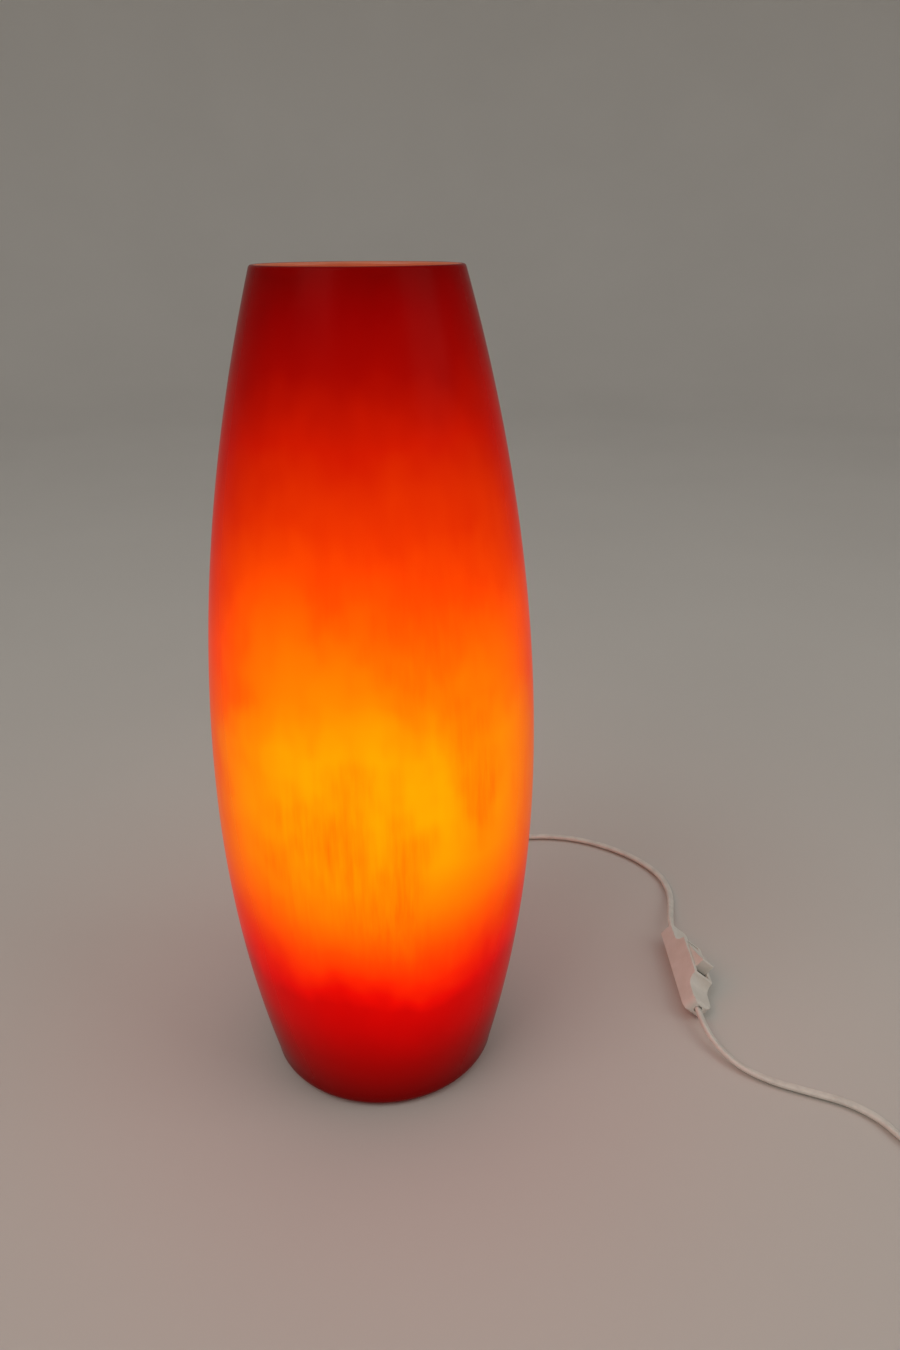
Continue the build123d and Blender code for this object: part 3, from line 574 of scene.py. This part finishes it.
# ---------------------------------------------------------------- finishes
def white_moulding(name="abs_moulded_white"):
    """White plastic from a spark-eroded mould: a broad soft shine over a 0.4 mm grain."""
    material, tree, shader = finish_of(name, Roughness=0.38, IOR=1.53)
    place = add(tree, "ShaderNodeTexCoord").outputs["Object"]
    grain = add(tree, "ShaderNodeTexNoise", inputs={"Vector": place, "Scale": 2500.0, "Detail": 2.0})
    patch = add(tree, "ShaderNodeTexNoise", inputs={"Vector": place, "Scale": 90.0, "Detail": 3.0})
    colour = add(
        tree, "ShaderNodeValToRGB", inputs={"Fac": patch.outputs["Fac"]},
        stops=[(0.35, linear("E4E1D8")), (0.65, linear("ECE9E2"))],
    )
    tree.links.new(colour.outputs["Color"], shader.inputs["Base Color"])
    shine = add(
        tree, "ShaderNodeMapRange",
        inputs={"Value": grain.outputs["Fac"], "To Min": 0.3, "To Max": 0.46},
    )
    tree.links.new(shine.outputs[0], shader.inputs["Roughness"])
    bump = add(
        tree, "ShaderNodeBump",
        inputs={"Strength": 0.25, "Distance": 0.00005, "Height": grain.outputs["Fac"]},
    )
    tree.links.new(bump.outputs[0], shader.inputs["Normal"])
    return material


def flex_pvc(colour):
    """Extruded PVC sheath: a soft, slightly greasy shine, with 6 mm scuffs over a 0.7 mm skin."""
    material, tree, shader = finish_of("pvc_extruded_white", Roughness=0.42, IOR=1.53)
    place = add(tree, "ShaderNodeTexCoord").outputs["Object"]
    scuff = add(tree, "ShaderNodeTexNoise", inputs={"Vector": place, "Scale": 160.0, "Detail": 4.0})
    darker = tuple(c * 0.88 for c in colour[:3]) + (1,)
    tint = add(
        tree, "ShaderNodeValToRGB", inputs={"Fac": scuff.outputs["Fac"]},
        stops=[(0.35, darker), (0.6, tuple(colour))],
    )
    tree.links.new(tint.outputs["Color"], shader.inputs["Base Color"])
    shine = add(
        tree, "ShaderNodeMapRange",
        inputs={"Value": scuff.outputs["Fac"], "To Min": 0.34, "To Max": 0.55},
    )
    tree.links.new(shine.outputs[0], shader.inputs["Roughness"])
    skin = add(tree, "ShaderNodeTexNoise", inputs={"Vector": place, "Scale": 1400.0, "Detail": 2.0})
    bump = add(
        tree, "ShaderNodeBump",
        inputs={"Strength": 0.2, "Distance": 0.00004, "Height": skin.outputs["Fac"]},
    )
    tree.links.new(bump.outputs[0], shader.inputs["Normal"])
    return material


def plated_metal(name, light, dark, roughness, grain_mm, stretch=(1, 1, 1)):
    """A bare or plated metal, with a grain of the given size that may be drawn out one way."""
    material, tree, shader = finish_of(name, Metallic=1.0, Roughness=roughness)
    place = add(tree, "ShaderNodeTexCoord").outputs["Object"]
    drawn = add(tree, "ShaderNodeMapping", inputs={"Vector": place, "Scale": stretch})
    grain = add(
        tree, "ShaderNodeTexNoise",
        inputs={"Vector": drawn.outputs[0], "Scale": 1 / (grain_mm * MM), "Detail": 3.0},
    )
    colour = add(
        tree, "ShaderNodeValToRGB", inputs={"Fac": grain.outputs["Fac"]},
        stops=[(0.3, linear(dark)), (0.7, linear(light))],
    )
    tree.links.new(colour.outputs["Color"], shader.inputs["Base Color"])
    shine = add(
        tree, "ShaderNodeMapRange",
        inputs={"Value": grain.outputs["Fac"], "To Min": roughness - 0.08, "To Max": roughness + 0.1},
    )
    tree.links.new(shine.outputs[0], shader.inputs["Roughness"])
    bump = add(
        tree, "ShaderNodeBump",
        inputs={"Strength": 0.2, "Distance": 0.00005, "Height": grain.outputs["Fac"]},
    )
    tree.links.new(bump.outputs[0], shader.inputs["Normal"])
    return material


def dull_skin(name, light, dark, roughness, grain_mm, ior=1.5, bump_mm=0.05):
    """A coloured non-metal with a fine grain: rubber, powder coat, porcelain or insulation."""
    material, tree, shader = finish_of(name, Roughness=roughness, IOR=ior)
    place = add(tree, "ShaderNodeTexCoord").outputs["Object"]
    grain = add(
        tree, "ShaderNodeTexNoise",
        inputs={"Vector": place, "Scale": 1 / (grain_mm * MM), "Detail": 3.0},
    )
    colour = add(
        tree, "ShaderNodeValToRGB", inputs={"Fac": grain.outputs["Fac"]},
        stops=[(0.35, linear(dark)), (0.65, linear(light))],
    )
    tree.links.new(colour.outputs["Color"], shader.inputs["Base Color"])
    bump = add(
        tree, "ShaderNodeBump",
        inputs={"Strength": 0.3, "Distance": bump_mm * MM, "Height": grain.outputs["Fac"]},
    )
    tree.links.new(bump.outputs[0], shader.inputs["Normal"])
    return material


# ---------------------------------------------------------------- base, stem and holder
class LAMP_OT_base(bpy.types.Operator):
    """Finishes the pressed base, its rubber, its stem and its fasteners"""

    bl_idname = "lamp.base"
    bl_label = "Base and stem"

    def execute(self, context):
        # Deep-drawn mild steel, clear lacquered: dull grey with fine circular draw marks.
        steel = plated_metal("mild_steel_pressed", "9C9A96", "7C7A77", 0.38, 0.5)
        # Bright zinc plate on small fasteners: pale, slightly blue.
        zinc = plated_metal("zinc_plated_steel", "C4C6C8", "9EA1A4", 0.3, 0.3)
        # Moulded rubber: near black, no shine, a dusty bloom.
        rubber = dull_skin("rubber_moulded_black", "1E1E1E", "121212", 0.75, 0.8, 1.52, 0.08)
        # White polyester powder coat: fine orange peel about 1 mm across.
        powder = dull_skin("powder_coat_white", "E2E0DA", "D6D4CE", 0.35, 1.0, 1.5, 0.06)
        dress(steel, "base_dish", "base_posts", "base_plate")
        dress(zinc, "plate_screws", "threaded_nipple", "stem_nut", "lock_washer", "clamp_screws")
        dress(rubber, "edge_trim", "rubber_feet")
        dress(powder, "stem_tube")
        dress(white_moulding("polyamide_moulded_white"), "cord_bush", "cord_clamp")
        dress(flex_pvc(context.scene.lamp_flex.colour), "inner_lead")
        return {"FINISHED"}


class LAMP_OT_holder(bpy.types.Operator):
    """Finishes the lamp holder and what is inside it"""

    bl_idname = "lamp.holder"
    bl_label = "Lamp holder"

    def execute(self, context):
        # Urea-formaldehyde moulding: harder and a little glossier than ABS.
        dress(white_moulding("urea_moulded_white"), "holder_cap", "holder_body", "holder_ring")
        # Glazed steatite: off-white with a wet shine.
        dress(dull_skin("steatite_glazed", "E8E4DA", "DCD8CC", 0.15, 3.0, 1.6, 0.02), "holder_insert")
        # Drawn brass: warm yellow with fine draw lines.
        brass = plated_metal("brass_drawn", "D8B468", "B28C44", 0.28, 0.4)
        dress(brass, "screw_shell", "centre_contact", "holder_terminals")
        dress(bpy.data.materials["zinc_plated_steel"], "terminal_screws")
        dress(dull_skin("core_insulation_blue", "1E4E96", "18407E", 0.4, 0.6), "holder_core_blue")
        dress(dull_skin("core_insulation_brown", "5E3820", "4A2C18", 0.4, 0.6), "holder_core_brown")
        return {"FINISHED"}


class LAMP_OT_bulb(bpy.types.Operator):
    """Finishes the bulb and lights it"""

    bl_idname = "lamp.bulb"
    bl_label = "Bulb"

    def execute(self, context):
        dress(plated_metal("aluminium_rolled", "D2D3D4", "B4B6B8", 0.28, 0.4), "bulb_cap")
        dress(bpy.data.materials["zinc_plated_steel"], "filament_wires")
        # Tin solder: pale grey, slightly lumpy.
        dress(plated_metal("solder_cast", "B8B8B6", "94948F", 0.35, 1.2), "bulb_contact")
        # Fused black glass between the cap and its contact.
        black = dull_skin("black_glass_fused", "141216", "0A090B", 0.12, 1.5, 1.52, 0.03)
        dress(black, "bulb_insulator")
        dress(self.frosted(), "bulb_glass")
        dress(self.hot_wire(), "filament")
        dress(self.drawn_tube(), "bulb_mount")
        return {"FINISHED"}

    @staticmethod
    def drawn_tube():
        """Soda glass drawn into a tube: clear, with faint ripples 2 mm apart along its length."""
        material, tree, shader = finish_of(
            "soda_glass_drawn", Base_Color=linear("EEF2F0"), IOR=1.5, Transmission_Weight=1.0
        )
        place = add(tree, "ShaderNodeTexCoord").outputs["Object"]
        drawn = add(tree, "ShaderNodeMapping", inputs={"Vector": place, "Scale": (1, 1, 0.2)})
        ripple = add(
            tree, "ShaderNodeTexNoise",
            inputs={"Vector": drawn.outputs[0], "Scale": 500.0, "Detail": 2.0},
        )
        haze = add(
            tree, "ShaderNodeMapRange",
            inputs={"Value": ripple.outputs["Fac"], "To Min": 0.03, "To Max": 0.12},
        )
        tree.links.new(haze.outputs[0], shader.inputs["Roughness"])
        bump = add(
            tree, "ShaderNodeBump",
            inputs={"Strength": 0.2, "Distance": 0.0001, "Height": ripple.outputs["Fac"]},
        )
        tree.links.new(bump.outputs[0], shader.inputs["Normal"])
        return material

    @staticmethod
    def frosted():
        """Soda glass, etched inside: even warm white, hottest round its middle."""
        material, tree, shader = finish_of("soda_glass_frosted", Roughness=0.3, IOR=1.5)
        place = add(tree, "ShaderNodeTexCoord").outputs["Object"]
        split = add(tree, "ShaderNodeSeparateXYZ", inputs={"Vector": place})
        level = add(
            tree, "ShaderNodeMapRange",
            inputs={"Value": split.outputs["Z"], "From Min": 0.16, "From Max": 0.246},
        )
        glow = add(
            tree, "ShaderNodeValToRGB", inputs={"Fac": level.outputs[0]},
            stops=[
                (0.0, linear("B0703C")), (0.3, linear("F0B878")),
                (0.6, linear("FFE2B4")), (1.0, linear("FFD8A0")),
            ],
        )
        tree.links.new(glow.outputs["Color"], shader.inputs["Emission Color"])
        shader.inputs["Emission Strength"].default_value = 3.0
        frost = add(tree, "ShaderNodeTexNoise", inputs={"Vector": place, "Scale": 900.0, "Detail": 2.0})
        body = add(
            tree, "ShaderNodeValToRGB", inputs={"Fac": frost.outputs["Fac"]},
            stops=[(0.3, linear("ECE8E0")), (0.7, linear("F6F3EC"))],
        )
        tree.links.new(body.outputs["Color"], shader.inputs["Base Color"])
        return material

    @staticmethod
    def hot_wire():
        """Coiled tungsten wire at white heat."""
        material, tree, shader = finish_of("tungsten_coiled", Metallic=1.0, Roughness=0.4)
        place = add(tree, "ShaderNodeTexCoord").outputs["Object"]
        coil = add(
            tree, "ShaderNodeTexWave", {"bands_direction": "X"}, {"Vector": place, "Scale": 1200.0}
        )
        glow = add(
            tree, "ShaderNodeValToRGB", inputs={"Fac": coil.outputs["Fac"]},
            stops=[(0.2, linear("FF9A3C")), (0.8, linear("FFF0C8"))],
        )
        tree.links.new(glow.outputs["Color"], shader.inputs["Emission Color"])
        shader.inputs["Emission Strength"].default_value = 12.0
        shader.inputs["Base Color"].default_value = linear("8A8480")
        return material


# ---------------------------------------------------------------- flex, switch and plug
class LAMP_OT_flex(bpy.types.Operator):
    """Lays the flat flex from the lamp to the switch and on to its coil and plug"""

    bl_idname = "lamp.flex"
    bl_label = "Flex"

    def execute(self, context):
        settings = context.scene.lamp_flex
        sheath = bpy.data.materials["pvc_extruded_white"]
        piece, line, length = self.lay(
            "flex_to_switch", LAMP_ROUTE, self.broad_lamp_side, settings, sheath, ["lead_lamp_side"]
        )
        route = PLUG_ROUTE + self.coil(settings.turns) + TAIL_ROUTE
        piece, line, length = self.lay(
            "flex_to_plug", route, self.broad_plug_side, settings, sheath,
            ["lead_plug_side", "lead_coil", "lead_tail"],
        )
        self.tie()
        return {"FINISHED"}

    @staticmethod
    def lay(name, route, broad_at, settings, sheath, nodes):
        """One stretch of flex along a smooth line through its route."""
        line = smooth_line(name, route)
        total = lengths_along(line)[-1]
        mesh = flex_mesh(
            name, line, lambda at, ahead: broad_at(at, total, ahead), settings.width, settings.height
        )
        piece = new_piece(name, mesh, "base")
        mesh.materials.append(sheath)
        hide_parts(*nodes)
        return piece, line, round(total, 4)

    @staticmethod
    def coil(turns):
        """Route of the wound length: a lower layer that runs inward, then an upper one back out."""
        points = []
        outer, inner, uneven = 34.5 * MM, 25 * MM, 0.4 * MM
        lower, upper = 2.7 * MM, 7.9 * MM
        steps = int(turns * 14)
        for k in range(steps + 1):
            share = k / steps
            angle = math.pi + 2 * math.pi * turns * share
            inward = 1 - abs(2 * share - 1)
            radius = outer - (outer - inner) * inward + uneven * math.sin(2.3 * angle)
            rise = ease((share - 0.46) / 0.08)
            points.append((
                COIL_MIDDLE[0] + radius * math.cos(angle),
                COIL_MIDDLE[1] + radius * math.sin(angle),
                lower + (upper - lower) * rise,
            ))
        return points

    @staticmethod
    def broad_lamp_side(at, total, ahead):
        """Flat on the table from the lamp, then rolled over to meet the switch."""
        flat = ahead.cross(Vector((0, 0, 1))).normalized()
        rolled = SWITCH_ACROSS if flat.dot(SWITCH_ACROSS) >= 0 else -SWITCH_ACROSS
        return flat.lerp(rolled, ease((at - (total - 0.1)) / 0.085)).normalized()

    @staticmethod
    def broad_plug_side(at, total, ahead):
        """Rolled at the switch, flat on the table, on edge round the coil and flat again at the plug."""
        up = Vector((0, 0, 1))
        flat = ahead.cross(up).normalized()
        rolled = SWITCH_ACROSS if flat.dot(SWITCH_ACROSS) > 0 else -SWITCH_ACROSS
        side = rolled.lerp(flat, ease((at - 0.015) / 0.085))
        side = side.lerp(up, ease((at - 0.125) / 0.06))
        return side.lerp(flat, ease((at - (total - 0.05)) / 0.04)).normalized()

    @staticmethod
    def tie():
        """A narrow strap round the coil's turns, on the side away from the plug."""
        out = Vector((-math.sin(0.6), -math.cos(0.6), 0))
        along = Vector((0, 0, 1)).cross(out)
        middle = Vector((*COIL_MIDDLE, 5.2 * MM)) + out * 29.8 * MM
        half_wide, half_high, thick = 7.3 * MM, 4.7 * MM, 0.5 * MM
        mesh = bmesh.new()
        rings = []
        for k in range(28):
            angle = 2 * math.pi * k / 28
            wide = math.copysign(abs(math.cos(angle)) ** 0.55, math.cos(angle))
            tall = math.copysign(abs(math.sin(angle)) ** 0.55, math.sin(angle))
            ring = []
            for half, grow in ((-1.6 * MM, 0), (-1.4 * MM, thick), (1.4 * MM, thick), (1.6 * MM, 0)):
                rise = Vector((0, 0, tall * (half_high + grow)))
                place = middle + out * wide * (half_wide + grow) + rise
                ring.append(mesh.verts.new(place + along * half))
            rings.append(ring)
        for k in range(28):
            here, there = rings[k], rings[(k + 1) % 28]
            for i in range(4):
                j = (i + 1) % 4
                mesh.faces.new((here[i], here[j], there[j], there[i]))
        bmesh.ops.recalc_face_normals(mesh, faces=mesh.faces)
        data = bpy.data.meshes.new("coil_tie")
        mesh.to_mesh(data)
        mesh.free()
        piece = new_piece("coil_tie", data, "base")
        data.materials.append(dull_skin("pvc_strap_black", "222222", "181818", 0.5, 0.5))
        return piece


class LAMP_OT_switch(bpy.types.Operator):
    """Finishes the in-line switch and its inner parts"""

    bl_idname = "lamp.switch"
    bl_label = "Switch"

    def execute(self, context):
        dress(white_moulding(), "switch_base", "switch_cover", "switch_rocker")
        dress(bpy.data.materials["zinc_plated_steel"], "switch_screws", "rocker_pin", "link_screws")
        dress(bpy.data.materials["brass_drawn"], "switch_bridge", "switch_contacts", "neutral_link")
        return {"FINISHED"}


class LAMP_OT_plug(bpy.types.Operator):
    """Finishes the moulded plug and its pins"""

    bl_idname = "lamp.plug"
    bl_label = "Plug"

    def execute(self, context):
        dress(white_moulding("pvc_moulded_white"), "plug_body")
        # Polyamide sleeves: black with a faint satin.
        dress(dull_skin("polyamide_moulded_black", "1A1A1C", "101012", 0.45, 0.4), "plug_sleeves")
        # Nickel over brass: bright and slightly warm.
        dress(plated_metal("nickel_plated_brass", "CFC8BA", "ABA596", 0.2, 0.4), "plug_pins")
        return {"FINISHED"}


# ---------------------------------------------------------------- stage
class LAMP_OT_stage(bpy.types.Operator):
    """Sets the floor, the lights and the camera"""

    bl_idname = "lamp.stage"
    bl_label = "Stage"

    def execute(self, context):
        settings = context.scene.lamp_studio
        self.floor(settings)
        self.lights(settings)
        self.camera(settings)
        context.scene.view_settings.view_transform = "Standard"
        return {"FINISHED"}

    @staticmethod
    def floor(settings):
        """A plain round floor that curves up far off on every side, so no edge of it shows."""
        material, tree, shader = finish_of("paint_matt_pale", Roughness=0.7)
        place = add(tree, "ShaderNodeTexCoord").outputs["Object"]
        tone = add(tree, "ShaderNodeTexNoise", inputs={"Vector": place, "Scale": 3.0, "Detail": 2.0})
        light = tuple(settings.floor_colour)
        dark = tuple(c * 0.97 for c in light[:3]) + (1,)
        colour = add(
            tree, "ShaderNodeValToRGB", inputs={"Fac": tone.outputs["Fac"]},
            stops=[(0.3, dark), (0.7, light)],
        )
        tree.links.new(colour.outputs["Color"], shader.inputs["Base Color"])
        level, flat, curve, high = -0.2 * MM, 2.6, 1.4, 4.6
        section = [(MM, level), (flat, level)]
        for k in range(1, 17):
            angle = math.pi / 2 * k / 16
            section.append((flat + curve * math.sin(angle), curve - curve * math.cos(angle)))
        section.append((flat + curve, high))
        data = lathe("floor", section, 96, closed=False)
        for face in data.polygons:
            face.use_smooth = True
        data.materials.append(material)
        floor = bpy.data.objects.new("floor", data)
        bpy.context.scene.collection.objects.link(floor)

    @staticmethod
    def lights(settings):
        """Even light from all round, with a large soft light at the left and a smaller one at the right."""
        world = bpy.data.worlds.new("studio")
        world.use_nodes = True
        back = world.node_tree.nodes["Background"]
        back.inputs["Color"].default_value = linear("F4F2F0")
        back.inputs["Strength"].default_value = settings.room_level
        bpy.context.scene.world = world
        for name, place, size, power in (
            ("key_light", (-1.1, -1.2, 1.9), 1.4, settings.key_power),
            ("fill_light", (1.5, -0.6, 1.3), 1.2, settings.fill_power),
        ):
            data = bpy.data.lights.new(name, "AREA")
            data.size = size
            data.energy = power
            data.color = linear("FFFAF2")[:3]
            light = bpy.data.objects.new(name, data)
            light.location = place
            towards = Vector((0, 0, 0.2)) - light.location
            light.rotation_euler = towards.to_track_quat("-Z", "Y").to_euler()
            bpy.context.scene.collection.objects.link(light)

    @staticmethod
    def camera(settings):
        """A camera just above the rim's height that looks a little down at the glass."""
        data = bpy.data.cameras.new("camera")
        data.lens = settings.lens
        data.sensor_width = 36
        camera = bpy.data.objects.new("camera", data)
        camera.location = (0.0429, -0.5369, 0.4726)
        tilt = Matrix.Rotation(math.radians(90 - 22.77), 4, "X")
        roll = Matrix.Rotation(math.radians(-0.29), 4, "Z")
        camera.rotation_euler = (tilt @ roll).to_euler()
        bpy.context.scene.collection.objects.link(camera)
        bpy.context.scene.camera = camera


# ---------------------------------------------------------------- panel and registration
OPERATORS = (
    LAMP_OT_glass,
    LAMP_OT_base,
    LAMP_OT_holder,
    LAMP_OT_bulb,
    LAMP_OT_flex,
    LAMP_OT_switch,
    LAMP_OT_plug,
    LAMP_OT_stage,
)
SETTINGS = (LampGlassSettings, LampFlexSettings, LampStudioSettings)


class LAMP_PT_panel(bpy.types.Panel):
    """Lists the lamp's settings and steps."""

    bl_idname = "LAMP_PT_panel"
    bl_label = "Table lamp"
    bl_space_type = "VIEW_3D"
    bl_region_type = "UI"
    bl_category = "Lamp"

    def draw(self, context):
        for group in (context.scene.lamp_glass, context.scene.lamp_flex, context.scene.lamp_studio):
            box = self.layout.box()
            for key in group.bl_rna.properties.keys():
                if key not in {"rna_type", "name"}:
                    box.prop(group, key)
        for operator in OPERATORS:
            self.layout.operator(operator.bl_idname)


def register():
    for cls in (*SETTINGS, *OPERATORS, LAMP_PT_panel):
        bpy.utils.register_class(cls)
    bpy.types.Scene.lamp_glass = PointerProperty(type=LampGlassSettings)
    bpy.types.Scene.lamp_flex = PointerProperty(type=LampFlexSettings)
    bpy.types.Scene.lamp_studio = PointerProperty(type=LampStudioSettings)


def unregister():
    del bpy.types.Scene.lamp_studio
    del bpy.types.Scene.lamp_flex
    del bpy.types.Scene.lamp_glass
    for cls in reversed((*SETTINGS, *OPERATORS, LAMP_PT_panel)):
        bpy.utils.unregister_class(cls)


def main():
    register()
    bpy.ops.lamp.glass()
    bpy.ops.lamp.base()
    bpy.ops.lamp.holder()
    bpy.ops.lamp.bulb()
    bpy.ops.lamp.flex()
    bpy.ops.lamp.switch()
    bpy.ops.lamp.plug()
    bpy.ops.lamp.stage()


if __name__ == "__main__":
    main()
